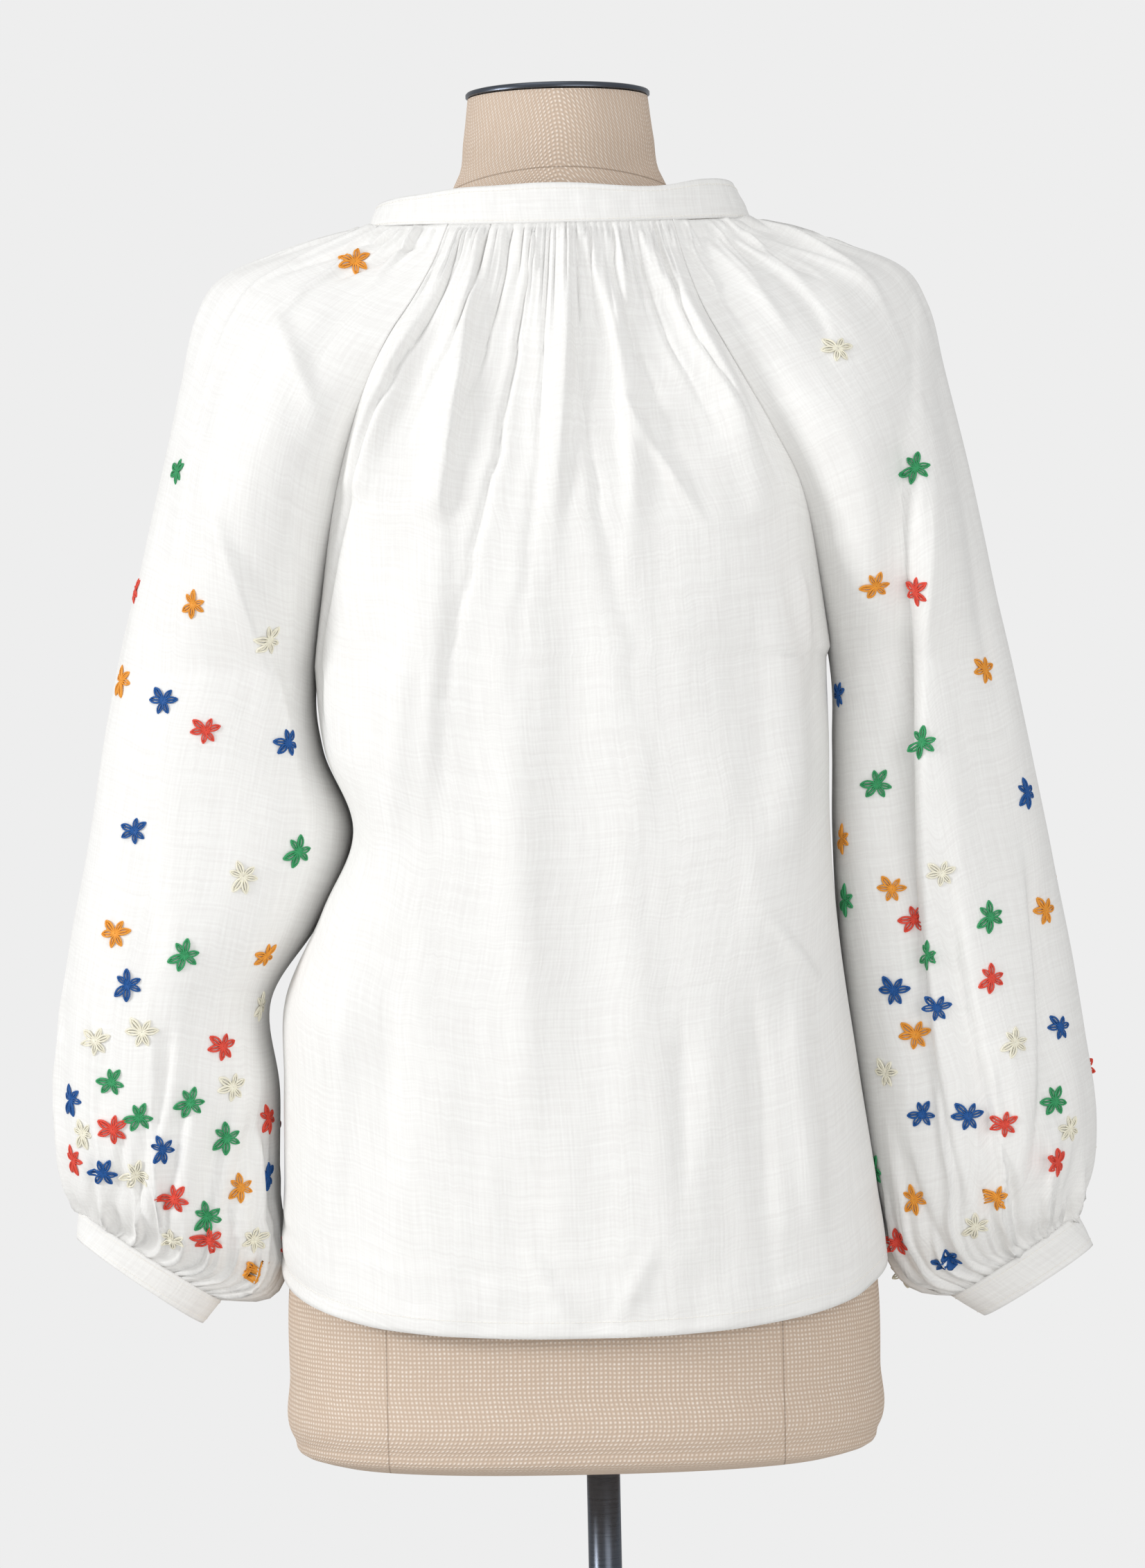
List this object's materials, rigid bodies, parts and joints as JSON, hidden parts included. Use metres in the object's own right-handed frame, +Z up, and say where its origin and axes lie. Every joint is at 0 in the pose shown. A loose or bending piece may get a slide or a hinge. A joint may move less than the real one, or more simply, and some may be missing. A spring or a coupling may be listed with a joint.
{
  "type": "mandarin collar blouse on a dress form",
  "caption": "Gathered raglan blouse with a band collar and full sleeves in narrow cuffs, worn by a limbless padded dress form on a pole and round base.",
  "frame": {"origin": "on the floor under the middle of the torso, on the underside of the base", "axes": "+Z up, the front of the blouse faces -Y and its back +Y, the wearer's left sleeve is on the +X side"},
  "size_m": [0.622, 0.3, 1.5533],
  "materials": {
    "cotton": "matt, thin plain-woven cotton",
    "linen": "matt, coarse plain weave",
    "dark_steel": "satin"
  },
  "bodies": {
    "root": {"back_panel": "cotton", "front_panel": "cotton", "sleeve_left": "cotton", "sleeve_right": "cotton", "collar": "cotton", "cuff_left": "cotton", "cuff_right": "cotton", "torso": "linen", "neck_cap": "dark_steel", "pole": "dark_steel", "base": "dark_steel", "base_hub": "dark_steel"}
  },
  "joints": []
}
